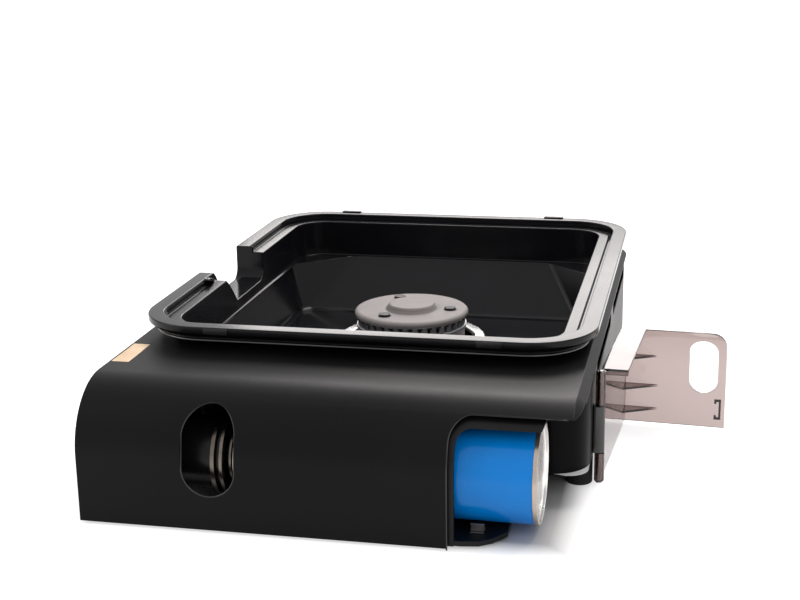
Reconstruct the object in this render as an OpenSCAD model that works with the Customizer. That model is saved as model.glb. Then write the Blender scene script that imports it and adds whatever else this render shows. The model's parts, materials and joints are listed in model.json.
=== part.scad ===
/* [Housing] */
// Width of the housing, left end to right side
body_w = 333; // [325:1:345]
// Depth of the housing, front to rear
body_d = 498; // [490:1:510]
// Height of the flat top above the ground
top_z = 94; // [93:0.5:97]
// Radius of the rolled front edge
front_roll = 46; // [42:1:48]
// Radius of the rear corners, seen from above
rear_corner = 48; // [40:1:52]
// Thickness of the cover sheet
sheet = 1.6; // [1.2:0.1:2]
// Height of the front panel's lower edge above the ground
panel_z = 2; // [1:0.5:4]
// Width of the slanted fold along the sides
fold_run = 5.7; // [4:0.1:7]
// Drop of the slanted fold along the sides
fold_drop = 4.5; // [3:0.1:5]
// Height of the folded skirt round the cover
skirt_h = 6; // [5.5:0.1:8]

/* [Canister opening] */
// Distance from the left end to the opening in the front panel
recess_x = 250; // [245:1:254]
// Height of the opening's upper edge
recess_z = 86; // [85:0.5:88]
// Radius of the opening's upper corner
recess_r = 14; // [8:1:18]
// Radius of the panel's free corner
panel_corner = 6; // [3:1:8]

/* [Sight window] */
// Width of the oval window
window_w = 36.5; // [30:0.5:40]
// Height of the oval window
window_h = 59; // [50:1:62]
// Distance from the left end to the middle of the window
window_x = 92; // [88:1:96]
// Height of the middle of the window
window_z = 55.2; // [52:0.1:56]

/* [Base pan] */
// Height of the pan's underside above the ground
pan_z = 22; // [21:0.5:23]
// Depth of the belly pressed into the pan's floor
belly_h = 6; // [5:0.5:7]
// Distance from the pan's walls to the belly
belly_in = 24; // [23:0.5:30]
// Corner radius of the belly
belly_corner = 40; // [36:1:48]
// Thickness of the pan sheet
pan_t = 1.2; // [1:0.1:1.6]
// Distance from the front to the pan's front wall
pan_y = 84; // [83:0.5:88]
// Radius of the pan's front corners
pan_corner = 26; // [20:1:30]
// Radius of the front corners of the pan's floor, which stands out below them
floor_corner = 14; // [10:1:20]
// Length of one side vent
vent_l = 134; // [100:1:138]
// Height of one side vent
vent_h = 14; // [8:1:16]
// Height of the middle of the vents
vent_z = 77; // [74:0.5:78]

/* [Gas canister] */
// Radius of the canister body
can_r = 33.5; // [33:0.1:33.8]
// Radius of the rolled seam
seam_r = 34.3; // [33.9:0.1:34.8]
// Distance from the left end to the canister's base
can_x = 306; // [300:1:308]
// Length of the canister, base to valve tip
can_l = 186; // [184:0.5:187]
// Distance from the front face to the canister axis
can_y = 43.7; // [43:0.1:45]
// Height of the canister axis
can_z = 40.3; // [40.1:0.1:41]
// Thickness of the canister wall
can_t = 0.8; // [0.6:0.1:1]

/* [Control side] */
// Radius of the control knob
knob_r = 17; // [14:0.5:19]
// Length of the control knob
knob_l = 12; // [10:0.5:14]
// Radius of the valve spindle
spindle_r = 4; // [3:0.1:4.5]
// Turn of the knob from closed to ignition, in degrees
knob_turn = 110; // [90:5:120]
// Stroke of the ignition plunger
striker_stroke = 5; // [3:0.5:6]

/* [Tray] */
// Distance from the side of the housing to the tray rim
tray_side = 0.5; // [0:0.1:4]
// Depth of the tray rim
tray_d = 400; // [392:1:401]
// Height of the rim above the ground
rim_z = 111; // [109:0.5:114]
// Corner radius of the rim
rim_corner = 50; // [44:1:54]
// Width of the flat outer band of the rim
band_w = 12; // [10:0.5:13]
// Width of the groove in the rim
groove_w = 3.5; // [2:0.5:4]
// Depth of the groove in the rim
groove_h = 7; // [6:0.5:8]
// Width of the inner ledge of the rim
ledge_w = 9; // [7:0.5:10]
// Drop of the inner ledge below the band
ledge_drop = 5; // [3:0.5:5.5]
// Height of the upright edge of the rim
rim_edge_h = 5; // [4:0.5:6]
// Height of the rim with the slanted skirt below its edge
rim_skirt_h = 11.5; // [10:0.5:13]
// Distance the skirt slants inward
rim_skirt_in = 7; // [5:0.5:9]
// Wall thickness of the tray
tray_t = 2.2; // [1.8:0.1:2.5]
// Height of the shelf where the wall bends inward
shelf_z = 74; // [70:1:78]
// Height of the tray floor
floor_z = 32.5; // [32:0.5:35]
// Distance from the front of the tray to the notch in its left wall
notch_y = 150; // [130:1:170]
// Length of the notch at its floor
notch_l = 72; // [50:1:76]
// Height of the notch floor
notch_z = 83; // [80:1:90]

/* [Burner] */
// Height of the crown's top
crown_z = 70; // [68:0.5:72]
// Number of slots in the crown
crown_slots = 36; // [24:2:44]
// Width of the bright ring's bed round the opening in the tray
bed_w = 10; // [9:0.5:12]
// Gap between the slotted crown and the opening in the tray
crown_gap = 5.5; // [5:0.5:6]
// Overhang of the burner cap over the crown
cap_over = 1.5; // [1:0.25:2]
// Outer radius of the bright ring
ring_r = 61; // [58:0.5:63]
// Height of the ring's seat
ring_z = 49; // [46:0.5:50]
// Radius of the mixing tube
tube_r = 4.8; // [4:0.1:4.8]

/* [Door] */
// Height of the door's top edge
door_top = 84; // [80:0.5:84.5]
// Height of the door's lower edge
door_low = 3; // [2:0.5:6]
// Thickness of the door
door_t = 2; // [1.6:0.1:2.4]
// Length of the door leaf that closes the front opening
leaf_l = 77.7; // [72:0.1:78.5]
// Width of the door's top flange
flange_w = 18; // [12:0.5:19]
// Distance from the front face to the hinge axis
hinge_y = 128; // [126:0.5:130]
// Distance from the housing side to the hinge axis
hinge_out = 3; // [2.4:0.1:4]
// Radius of the hinge knuckles
knuckle_r = 3.5; // [3.2:0.1:3.9]
// Radius of the hinge pin
pin_r = 1.5; // [1.2:0.1:1.8]
// Opening angle of the door, in degrees
door_open = 176; // [150:1:178]
// Width of the finger hole
finger_w = 21.6; // [18:0.1:24]
// Height of the finger hole
finger_h = 44.4; // [36:0.1:48]

/* [Feet] */
// Radius of a foot
foot_r = 9.5; // [8:0.5:10.5]
// Distance from the front of the housing to the front feet
foot_y = 132; // [110:1:150]

/* [Hidden] */
throat_r = ring_r - bed_w;
crown_r = throat_r - crown_gap;
cap_r = crown_r + cap_over;
$fn = 64;

// Gap between pieces that sit against each other without touching
seat_gap = 0.3;
// Running clearance of a shaft in its hole
run_gap = 0.08;

// The frame's origin is below the middle of everything, the open door and the knob included
hinge_x = body_w + hinge_out;
clip_t = 1.2;
swing = 180 - door_open;
reach_x = hinge_x + leaf_l * cos(swing) + hinge_y * sin(swing);
tray_w = body_w - 2 * tray_side;
tray_x = tray_side;
tray_y = body_d - tray_d;
reach_y = tray_y + tray_d + clip_t;
origin_x = (reach_x - knob_l) / 2;
origin_y = reach_y / 2;

burner_x = body_w / 2;
burner_y = tray_y + tray_d / 2;
pan_floor = pan_z - belly_h + pan_t;
pan_inset = sheet + 0.2;
groove_in = band_w + groove_w;
inner_w = groove_in + ledge_w;
ledge_z = rim_z - ledge_drop;

// Bare plate let into the top near its left end
plate_x = 1.2;
plate_y = 65;
plate_w = 13;
plate_l = 42;
plate_t = 0.8;

// The tray's wall hangs in the cover's opening and rests on it with a shoulder
wall_seat = inner_w - tray_t - seat_gap;
shoulder_w = 3.5;

// Places of the regulator's pieces along the canister's axis
panel_x = sheet + seat_gap;
panel_t = 2;
cam_x = 20;
cam_t = 6;
cam_r = 9;
block_x = 30;
bracket_x = 60;
bracket_t = 1.5;
body_x = bracket_x + bracket_t;
magnet_x = 103;
magnet_r = 26;
collar_r = 17.5;
collar_l = 9;
dome_l = 10;
seam_l = 3;
stem_r = 3.2;
stem_l = 2;
tip_x = can_x - can_l;
collar_x = tip_x + stem_l;
seat_x = collar_x - seat_gap;
magnet_end = collar_x + 7;
dome_x = collar_x + collar_l;
tube_z = pan_floor + 6.4;
tube_start = [98, pan_y - 4];
channel_x = tube_start[0] + 4;
cup_r = 24;
boss_run = 5;

module placed() {
  translate([-origin_x, -origin_y, 0]) children();
}

// Lays a section drawn in depth and height along the width
module along_x() {
  rotate([90, 0, 90]) children();
}

// Lays a section drawn in width and height along the depth, from y0 to y1
module along_y(y0, y1) {
  translate([0, y1, 0]) rotate([90, 0, 0]) linear_extrude(y1 - y0) children();
}

// Rectangle with round corners
module rounded(x0, y0, x1, y1, r) {
  translate([x0 + r, y0]) square([x1 - x0 - 2 * r, y1 - y0]);
  translate([x0, y0 + r]) square([x1 - x0, y1 - y0 - 2 * r]);
  for (x = [x0 + r, x1 - r], y = [y0 + r, y1 - r]) translate([x, y]) circle(r);
}

// Upright oval with its middle at x, z
module oval(x, z, w, h) {
  translate([x - w / 2, z - h / 2 + w / 2]) square([w, h - w]);
  for (s = [-1, 1]) translate([x, z + s * (h - w) / 2]) circle(w / 2);
}

// Side view of the housing, drawn in by inset: flat front, rolled edge, flat top
module side_view(inset, y1, z0) {
  translate([inset, z0]) square([y1 - inset, top_z - front_roll - z0]);
  translate([front_roll, z0]) square([y1 - front_roll, top_z - inset - z0]);
  translate([front_roll, top_z - front_roll])
    intersection() {
      circle(front_roll - inset);
      translate([-front_roll, 0]) square(front_roll + 0.1);
    }
}

// Plan of the housing, drawn in by inset: square front corners, round rear corners
module plan_view(inset, y0) {
  rear = body_d - rear_corner;
  translate([inset, y0]) square([body_w - 2 * inset, rear - y0]);
  translate([rear_corner, y0]) square([body_w - 2 * rear_corner, body_d - inset - y0]);
  for (x = [rear_corner, body_w - rear_corner]) translate([x, rear]) circle(rear_corner - inset);
}

// Points of the slanted fold at a free edge; out is the way the fold faces along the first axis
function fold_points(edge, out) = [
  [edge - out * (fold_run + 0.7), -sheet],
  [edge - out * fold_run, 0],
  [edge, -fold_drop],
  [edge, -skirt_h],
  [edge - out * sheet, -skirt_h],
  [edge - out * sheet, -fold_drop - 0.6]
];

// Points of the square flange at a free edge
function flange_points(edge, out) = [
  [edge - out * sheet, -sheet],
  [edge, 0],
  [edge, -skirt_h],
  [edge - out * sheet, -skirt_h]
];

// Section of the cover from side to side: square flange on the left, slanted fold on the right
function cover_section() = concat(
  [for (i = [0, 3, 2, 1]) flange_points(0, -1)[i]],
  [for (i = [1:5]) fold_points(body_w, 1)[i]],
  [fold_points(body_w, 1)[0]]
);

module cover_sweep() {
  translate([0, 0, top_z]) along_y(front_roll, body_d - rear_corner) polygon(cover_section());
  translate([0, front_roll, top_z - front_roll])
    along_x() rotate([0, 0, 90]) rotate_extrude(angle = 90)
      polygon([for (p = cover_section()) [front_roll + p[1], p[0]]]);
  translate([0, 0, panel_z])
    mirror([0, 1, 0]) linear_extrude(top_z - front_roll - panel_z) polygon(cover_section());
}

module cover_rear() {
  rear = body_d - rear_corner;
  translate([0, 0, top_z - sheet])
    linear_extrude(sheet)
      intersection() {
        plan_view(fold_run, rear - 1);
        translate([0, rear]) square([body_w, rear_corner]);
      }
  translate([rear_corner, rear, top_z])
    rotate([0, 0, 90]) rotate_extrude(angle = 90) {
      polygon(flange_points(rear_corner, 1));
      translate([rear_corner - fold_run - 1, -sheet]) square([fold_run, sheet]);
    }
  translate([body_w - rear_corner, rear, top_z])
    rotate_extrude(angle = 90) polygon(fold_points(rear_corner, 1));
  translate([rear_corner, body_d, top_z])
    rotate([90, 0, 90]) linear_extrude(body_w - 2 * rear_corner) polygon(fold_points(0, 1));
}

// Opening in the front panel that bares the canister
module recess_cut() {
  far = body_w + 10;
  along_y(-1, front_roll) {
    difference() {
      translate([recess_x, -10]) square([far - recess_x, recess_z + 10]);
      translate([recess_x, recess_z - recess_r])
        difference() {
          square(recess_r);
          translate([recess_r, 0]) circle(recess_r);
        }
    }
    translate([body_w - panel_corner, recess_z - 0.01])
      difference() {
        square([panel_corner + 1, panel_corner]);
        translate([0, panel_corner]) circle(panel_corner);
      }
  }
}

module top_cover() {
  color("#1c1c1e") placed()
    difference() {
      union() {
        cover_sweep();
        cover_rear();
      }
      translate([0, 0, top_z - sheet - 1])
        linear_extrude(sheet + 2)
          rounded(tray_x + wall_seat, tray_y + wall_seat, tray_x + tray_w - wall_seat,
            tray_y + tray_d - wall_seat, rim_corner - wall_seat);
      along_y(-1, front_roll) oval(window_x, window_z, window_w, window_h);
      outlet_cut(0);
      recess_cut();
      translate([plate_x, plate_y, top_z - plate_t]) cube([plate_w, plate_l, 2]);
      cover_screw_holes();
    }
}

module name_plate() {
  color("#b98a52") placed()
    translate([plate_x + 0.2, plate_y + 0.2, top_z - plate_t])
      cube([plate_w - 0.4, plate_l - 0.4, plate_t - 0.1]);
}

// Places of the screws that join the cover's left flange to the control panel
screw_in = 4;
screw_r = 1.5;
cover_screws_at = [
  [screw_in, 14],
  [screw_in, top_z - front_roll - 2],
  [pan_y - 16, top_z - screw_in]
];

module cover_screw_holes() {
  along_x() for (p = cover_screws_at) translate([p[0], p[1], -1]) cylinder(h = sheet + 2, r = screw_r + run_gap);
}

// Room for the tray's outlet through the cover and the pan
module outlet_cut(z0) {
  side = tray_t + seat_gap;
  translate([-1, tray_y + notch_y - side, z0])
    cube([tray_x + wall_seat + shoulder_w + 1, notch_run + notch_l + 2 * side, top_z]);
}

// Plan of the pan, drawn in by inset from its outer face, with front corners of radius corner
module pan_plan(inset, corner) {
  x0 = pan_inset + inset;
  x1 = body_w - pan_inset - inset;
  y0 = pan_y + inset;
  y1 = body_d - pan_inset - inset;
  front = corner - inset;
  back = rear_corner - pan_inset - inset;
  translate([x0, y0]) square([x1 - front - x0, y1 - back - y0]);
  translate([x0, y0 + front]) square([x1 - x0, y1 - back - y0 - front]);
  translate([x0 + back, y0 + front]) square([x1 - x0 - 2 * back, y1 - y0 - front]);
  translate([x1 - front, y0 + front]) circle(front);
  for (x = [x0 + back, x1 - back]) translate([x, y1 - back]) circle(back);
}

// Plan of the belly, with a channel to the front wall for the mixing tube
channel_w = 30;

module belly_plan(inset) {
  e = belly_in + inset;
  rounded(pan_inset + e, pan_y + e, body_w - pan_inset - e, body_d - pan_inset - e, belly_corner - inset);
  translate([channel_x - channel_w / 2 + inset, pan_y + inset]) square([channel_w - 2 * inset, 2 * belly_in]);
}

pan_top = top_z - fold_drop - 0.6 - seat_gap;
vent_y = [222, 379];
foot_in = pan_inset + foot_r;
feet_at = [
  [foot_in, foot_y],
  [body_w - foot_in, foot_y],
  [foot_in + 20, body_d - foot_in - 16],
  [body_w - foot_in - 20, body_d - foot_in - 16]
];
foot_screw_r = 2;
foot_screw_l = 8;
block_z = 24.2;
block_h = 34.9;
hinge_screws_at = [block_z + 8, block_z + block_h - 8];

module base_pan() {
  color("#202022") placed()
    difference() {
      union() {
        translate([0, 0, pan_z]) linear_extrude(pan_top - pan_z) pan_plan(0, pan_corner);
        translate([0, 0, pan_z]) linear_extrude(pan_t) pan_plan(0, floor_corner);
        translate([0, 0, pan_z - belly_h]) linear_extrude(belly_h + 0.5) belly_plan(0);
      }
      translate([0, 0, pan_z + pan_t]) linear_extrude(pan_top) pan_plan(pan_t, pan_corner);
      translate([0, 0, pan_floor]) linear_extrude(pan_top) belly_plan(pan_t);
      for (y = vent_y, x = [-1, body_w - pan_inset - pan_t - 1])
        translate([x, 0, 0]) along_x() linear_extrude(pan_inset + pan_t + 2) {
          translate([y - vent_l / 2 + vent_h / 2, vent_z - vent_h / 2]) square([vent_l - vent_h, vent_h]);
          for (s = [-1, 1]) translate([y + s * (vent_l - vent_h) / 2, vent_z]) circle(vent_h / 2);
        }
      translate([hinge_x - flange_w - 2, pan_y - 1, door_top - lip_h - 1])
        cube([flange_w + 4, hinge_y - pan_y + knuckle_r + 2, lip_h + 3]);
      outlet_cut(notch_z - tray_t - seat_gap);
      for (p = feet_at) translate([p[0], p[1], pan_z - 1]) cylinder(h = pan_t + 2, r = foot_screw_r + run_gap);
      for (z = hinge_screws_at)
        translate([body_w - pan_inset - pan_t - 1, hinge_y, z])
          rotate([0, 90, 0]) cylinder(h = pan_t + 2, r = screw_r + run_gap);
      tube_line() translate([0, 0, -30]) cylinder(h = 60, r = tube_r + seat_gap);
      translate([lead_x, pan_y - 1, lead_z]) rotate([-90, 0, 0]) cylinder(h = pan_t + 2, r = lead_r + 0.5);
    }
}

// Sunk bay behind the opening: a flange round the opening, a floor and a cradle for the canister
bay_floor = 2;
bay_top = can_z - seam_r - seat_gap;
bay_end = 286;
bay_start = 150;

bay_in = 4;
bay_t = 4;
band_z = 78;

// Frame of the bay in front view: an upright on the left and a band along the top
module bay_frame_face() {
  left = recess_x - 6;
  inner = recess_x + 4;
  difference() {
    polygon([
      [left, bay_floor],
      [inner, bay_floor],
      [inner, band_z - 10],
      [inner + 10, band_z],
      [inner + 54, band_z],
      [inner + 57, recess_z - 1],
      [left, recess_z - 1]
    ]);
    translate([inner + 10, band_z - 10]) circle(10);
  }
}

module canister_bay() {
  color("#171719") placed() {
    intersection() {
      translate([recess_x - 7, 0, 0])
        along_x() linear_extrude(70)
          difference() {
            side_view(bay_in, 26, bay_floor);
            side_view(bay_in + bay_t, 40, bay_floor - 1);
          }
      along_y(0, 40) bay_frame_face();
    }
    difference() {
      translate([0, 0, bay_floor])
        linear_extrude(bay_top - bay_floor)
          polygon([
            [bay_start, 6],
            [recess_x + 8, 5],
            [recess_x + 20, 7],
            [recess_x + 28, 13],
            [bay_end, 25],
            [bay_end, pan_y - 3],
            [bay_start, pan_y - 3]
          ]);
      translate([bay_start + 10, 30, 0]) cube([recess_x - bay_start - 20, 26, 20]);
    }
    translate([bay_start, pan_y - 3, bay_floor]) cube([bay_end - bay_start - 30, 3 - seat_gap, 40]);
  }
}

// Leaf spring on the bay floor that steadies the canister's base
module can_rest() {
  color("#c9c9cb") placed()
    translate([recess_x + 12, 19, bay_top]) {
      cube([9, 10, 0.6]);
      translate([0, 3, 0.6]) cube([9, 0.6, 5.4]);
      translate([0, 1.4, 5.4]) cube([9, 1.6, 0.6]);
    }
}

module feet() {
  color("#2a2a2c") placed()
    for (p = feet_at)
      translate([p[0], p[1], 0])
        difference() {
          cylinder(h = pan_z, r = foot_r);
          translate([0, 0, pan_z - foot_screw_l - 1]) cylinder(h = foot_screw_l + 2, r = foot_screw_r + run_gap);
          translate([0, 0, -1]) cylinder(h = 4, r = foot_r - 4);
        }
}

module foot_screws() {
  color("#b9babd") placed()
    for (p = feet_at)
      translate([p[0], p[1], pan_z - foot_screw_l]) {
        cylinder(h = foot_screw_l + pan_t, r = foot_screw_r);
        translate([0, 0, foot_screw_l + pan_t]) cylinder(h = 1.6, r = 1.8 * foot_screw_r);
      }
}

module cover_screws() {
  color("#b9babd") placed()
    along_x() for (p = cover_screws_at)
      translate([p[0], p[1], -1.4]) {
        cylinder(h = 1.4, r = 2.7);
        cylinder(h = 1.4 + panel_x + panel_t, r = screw_r);
      }
}

// Plate that closes the left end below the rolled edge and carries the controls
module control_panel() {
  color("#1b1b1d") placed()
    difference() {
      translate([panel_x, 0, 0])
        along_x() linear_extrude(panel_t) side_view(sheet + seat_gap, pan_y - seat_gap, panel_z);
      translate([0, can_y, can_z]) rotate([0, 90, 0]) cylinder(h = 20, r = spindle_r + run_gap);
      along_x() for (p = cover_screws_at) translate([p[0], p[1], -1]) cylinder(h = 20, r = screw_r + run_gap);
    }
}

dial_t = 1.2;
dial_r = knob_r + 7;

// Round dial plate behind the knob
module knob_dial() {
  color("#c4c5c8") placed()
    translate([panel_x - dial_t, can_y, can_z])
      rotate([0, 90, 0]) difference() {
        cylinder(h = dial_t, r = dial_r);
        translate([0, 0, -1]) cylinder(h = dial_t + 2, r = spindle_r + run_gap);
      }
}

grip_w = 10;
grip_l = 7;
knob_gap = 0.5;

// Knob with a straight grip across a round skirt
module control_knob() {
  color("#151517") placed()
    translate([-knob_l, can_y, can_z])
      rotate([0, 90, 0]) difference() {
        union() {
          translate([0, 0, grip_l])
            cylinder(h = knob_l - grip_l + panel_x - dial_t - knob_gap, r = knob_r);
          intersection() {
            cylinder(h = grip_l, r = knob_r - 1.5);
            translate([-knob_r, -grip_w / 2, 0]) cube([2 * knob_r, grip_w, grip_l]);
          }
        }
        translate([0, 0, 6]) cylinder(h = knob_l, r = spindle_r + 0.05);
      }
}

// Radius of the ignition cam at an angle
function cam_radius(a) =
  a <= knob_turn ? cam_r + striker_stroke * a / knob_turn :
  a <= knob_turn + 40 ? cam_r + striker_stroke * (knob_turn + 40 - a) / 40 : cam_r;

// Valve spindle with the ignition cam on it
module valve_spindle() {
  color("#c8b06a") placed() {
    translate([6.3 - knob_l, can_y, can_z]) rotate([0, 90, 0]) cylinder(h = block_x + 20 + knob_l - 6.3, r = spindle_r);
    translate([cam_x, can_y, can_z])
      along_x() linear_extrude(cam_t)
        polygon([for (a = [0:4:356]) cam_radius(a) * [cos(a), sin(a)]]);
  }
}

block_w = 36;
block_tall = 32;

// Valve block that carries the spindle
module valve_block() {
  color("#3a3b3e") placed()
    difference() {
      union() {
        translate([block_x, can_y - block_w / 2, can_z - block_tall / 2])
          cube([bracket_x - block_x, block_w, block_tall]);
        translate([bracket_x, can_y, can_z]) rotate([0, 90, 0]) cylinder(h = bracket_t, r = 10);
      }
      translate([block_x - 1, can_y, can_z]) rotate([0, 90, 0]) cylinder(h = 22, r = spindle_r + run_gap);
    }
}

bracket_h = 44;
bracket_foot = 16;
bracket_in = 24;

// Bracket that holds the valve block and the regulator on the pan's front wall
module regulator_bracket() {
  color("#8d8f93") placed()
    difference() {
      union() {
        translate([bracket_x, can_y - bracket_in, pan_floor + 2])
          cube([bracket_t, pan_y - can_y + bracket_in - 0.2, bracket_h]);
        translate([bracket_x, pan_y - bracket_t - 0.2, pan_floor + 2]) cube([bracket_foot, bracket_t, bracket_h]);
      }
      translate([bracket_x - 1, can_y, can_z]) rotate([0, 90, 0]) cylinder(h = bracket_t + 2, r = 10.1);
    }
}

reg_r = 25;
hub_r = 14;
rings_at = [[88, 3, 28], [94, 2.5, 27.5], [98.5, 2, 20.6]];

// Black regulator body and the hub that carries its rings
module regulator_body() {
  color("#19191b") placed()
    translate([0, can_y, can_z]) rotate([0, 90, 0]) {
      translate([0, 0, body_x]) cylinder(h = rings_at[0][0] - body_x, r = reg_r);
      translate([0, 0, rings_at[0][0]]) cylinder(h = magnet_x - rings_at[0][0], r = hub_r);
      translate([0, 0, rings_at[0][0] + rings_at[0][1]])
        difference() {
          cylinder(h = rings_at[1][0] - rings_at[0][0] - rings_at[0][1], r = reg_r);
          translate([0, 0, -1]) cylinder(h = 10, r = hub_r - 1);
        }
    }
}

module regulator_rings() {
  color("#c9cacd") placed()
    translate([0, can_y, can_z]) rotate([0, 90, 0])
      for (p = rings_at)
        translate([0, 0, p[0]]) difference() {
          cylinder(h = p[1], r = p[2]);
          translate([0, 0, -1]) cylinder(h = p[1] + 2, r = hub_r);
        }
}

// Magnet cup that holds the canister by its collar
module magnet_ring() {
  color("#77797d") placed()
    translate([magnet_x, can_y, can_z]) rotate([0, 90, 0])
      difference() {
        cylinder(h = magnet_end - magnet_x, r = magnet_r);
        translate([0, 0, seat_x - magnet_x]) cylinder(h = 20, r = collar_r + seat_gap);
        translate([0, 0, 10]) cylinder(h = 20, r = stem_r + seat_gap);
      }
}

seam_x = can_x - seam_l;

module can_shell() {
  color("#2c62b4") placed()
    translate([dome_x + dome_l + seam_l, can_y, can_z]) rotate([0, 90, 0])
      difference() {
        cylinder(h = seam_x - dome_x - dome_l - seam_l, r = can_r);
        translate([0, 0, -1]) cylinder(h = can_l, r = can_r - can_t);
      }
}

module can_base() {
  color("#d9dadc") placed()
    translate([seam_x, can_y, can_z]) rotate([0, 90, 0])
      difference() {
        cylinder(h = seam_l, r = seam_r);
        translate([0, 0, can_t]) cylinder(h = seam_l, r = seam_r - 2.4);
      }
}

module can_dome() {
  color("#d2d3d6") placed()
    translate([dome_x, can_y, can_z]) rotate([0, 90, 0])
      rotate_extrude()
        polygon([
          [0, 0],
          [collar_r, 0],
          [can_r - 6, dome_l - 5],
          [can_r - 1.5, dome_l],
          [seam_r, dome_l],
          [seam_r, dome_l + seam_l],
          [can_r - 2.4, dome_l + seam_l],
          [can_r - 2.4, dome_l + can_t],
          [can_r - 6.6, dome_l - 5 + can_t],
          [collar_r, can_t],
          [0, can_t]
        ]);
}

module can_collar() {
  color("#c3c4c7") placed()
    translate([collar_x, can_y, can_z]) rotate([0, 90, 0])
      difference() {
        cylinder(h = collar_l, r = collar_r);
        translate([0, 0, 0.8]) cylinder(h = collar_l, r = collar_r - 1.2);
        translate([0, 0, -1]) cylinder(h = collar_l, r = 5);
      }
}

module can_valve() {
  color("#e6e4dc") placed()
    translate([tip_x, can_y, can_z]) rotate([0, 90, 0])
      difference() {
        union() {
          cylinder(h = stem_l + collar_l, r = stem_r);
          translate([0, 0, stem_l]) cylinder(h = collar_l, r = 5);
        }
        translate([0, 0, -1]) cylinder(h = 9, r = 0.8);
      }
}

// The mixing tube runs level from the regulator's side to the burner
tube_angle = atan2(burner_y - tube_start[1], burner_x - tube_start[0]);
tube_l = norm([burner_x, burner_y] - tube_start) - cup_r + 2;

module tube_line() {
  translate([tube_start[0], tube_start[1], tube_z])
    rotate([0, 0, tube_angle - 90]) rotate([-90, 0, 0]) children();
}

module mixing_tube() {
  color("#a9abaf") placed()
    tube_line() difference() {
      cylinder(h = tube_l, r = tube_r);
      translate([0, 0, -1]) cylinder(h = tube_l + 2, r = tube_r - 0.8);
    }
}

jet_l = 8;
jet_r = 2.6;

module jet_nozzle() {
  color("#c9a24a") placed()
    tube_line() difference() {
      union() {
        translate([0, 0, -jet_l]) cylinder(h = jet_l + 3, r = 1.6);
        translate([0, 0, -jet_l]) cylinder(h = jet_l - 2, r = jet_r, $fn = 6);
      }
      translate([0, 0, -jet_l - 1]) cylinder(h = jet_l + 5, r = 0.4);
    }
}

// Chain of round bars through a list of points
module bars(points, r) {
  for (i = [0:len(points) - 2]) {
    d = points[i + 1] - points[i];
    translate(points[i])
      rotate([0, acos(d[2] / norm(d)), atan2(d[1], d[0])]) cylinder(h = norm(d), r = r, $fn = 24);
    if (i > 0) translate(points[i]) sphere(r + 0.15, $fn = 24);
  }
}

pipe_r = 2;
pipe_x = 72;
tube_way = [cos(tube_angle), sin(tube_angle)];
jet_back = tube_start - (jet_l + seat_gap) * tube_way;

// Gas pipe from the regulator to the jet
module gas_pipe() {
  color("#b98f48") placed()
    bars([
      [pipe_x, can_y + reg_r + 0.1, can_z],
      [pipe_x, pan_y - 8, can_z],
      [pipe_x, pan_y - 8, tube_z],
      [jet_back[0] - 2 * tube_way[0], jet_back[1] - 2 * tube_way[1], tube_z],
      [jet_back[0], jet_back[1], tube_z]
    ], pipe_r);
}

head_r = 44;
head_z = 50;
cup_top = 34;
head_t = 3;

module burner_body() {
  color("#5d5f63") placed()
    difference() {
      translate([burner_x, burner_y, 0])
        rotate_extrude()
          polygon([
            [0, pan_floor],
            [cup_r, pan_floor],
            [cup_r, cup_top],
            [head_r, head_z],
            [head_r, crown_base],
            [head_r - head_t, crown_base],
            [head_r - head_t, head_z + 1],
            [cup_r - head_t, cup_top + 1],
            [cup_r - head_t, pan_floor + 1.2],
            [0, pan_floor + 1.2]
          ]);
      tube_line() cylinder(h = tube_l + 5, r = tube_r + 0.1);
    }
}

// Ring plate that clamps the burner's cup to the pan
module burner_bracket() {
  color("#8d8f93") placed()
    difference() {
      translate([burner_x, burner_y, pan_floor])
        difference() {
          cylinder(h = 0.8, r = cup_r + 12);
          translate([0, 0, -1]) cylinder(h = 3, r = cup_r + 0.1);
        }
      translate([electrode_x, electrode_y, pan_z]) cylinder(h = 10, r = 3);
    }
}

crown_h = 10;
crown_base = crown_z - crown_h;
slot_h = 4.4;
slot_w = 2.4;

module burner_crown() {
  color("#b4b6ba") placed()
    translate([burner_x, burner_y, crown_base])
      difference() {
        union() {
          cylinder(h = crown_h, r = crown_r - 1);
          cylinder(h = 2.5, r = crown_r);
          translate([0, 0, crown_h - 1.5]) cylinder(h = 1.5, r = crown_r);
        }
        translate([0, 0, -1]) cylinder(h = crown_h + 2, r = crown_r - 5);
        for (i = [0:crown_slots - 1])
          rotate([0, 0, i * 360 / crown_slots])
            translate([crown_r - 8, -slot_w / 2, 3.5]) cube([12, slot_w, slot_h]);
      }
}

cap_h = 5;
boss_r = 21.5;
boss_h = 4.2;
stud_r = 5;
stud_ring = 32.5;
stud_turn = -1;

module cap_stud_places() {
  for (i = [0:2])
    translate([burner_x, burner_y, 0])
      rotate([0, 0, stud_turn + i * 120]) translate([stud_ring, 0, 0]) children();
}

module burner_cap() {
  color("#6b6d70") placed()
    difference() {
      translate([burner_x, burner_y, crown_z])
        rotate_extrude()
          polygon(concat(
            [[0, 0], [cap_r - 1, 0], [cap_r, 1], [cap_r, 3], [cap_r - 1.5, cap_h - 0.6], [cap_r - 4, cap_h]],
            [[boss_r + 3, cap_h], [boss_r, cap_h - 0.8]],
            [for (a = [0:15:90]) [boss_r - 4 + 2 * sin(90 - a), cap_h + boss_h - 2 + 2 * sin(a)]],
            [[0, cap_h + boss_h]]
          ));
      cap_stud_places() translate([0, 0, crown_z + 1]) cylinder(h = 10, r = stud_r + 0.05);
    }
}

module cap_studs() {
  color("#2c2d2f") placed()
    cap_stud_places()
      translate([0, 0, crown_z + 1]) {
        cylinder(h = cap_h - 1, r = stud_r);
        translate([0, 0, cap_h - 1]) cylinder(h = 1.6, r = stud_r - 0.4);
      }
}

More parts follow.
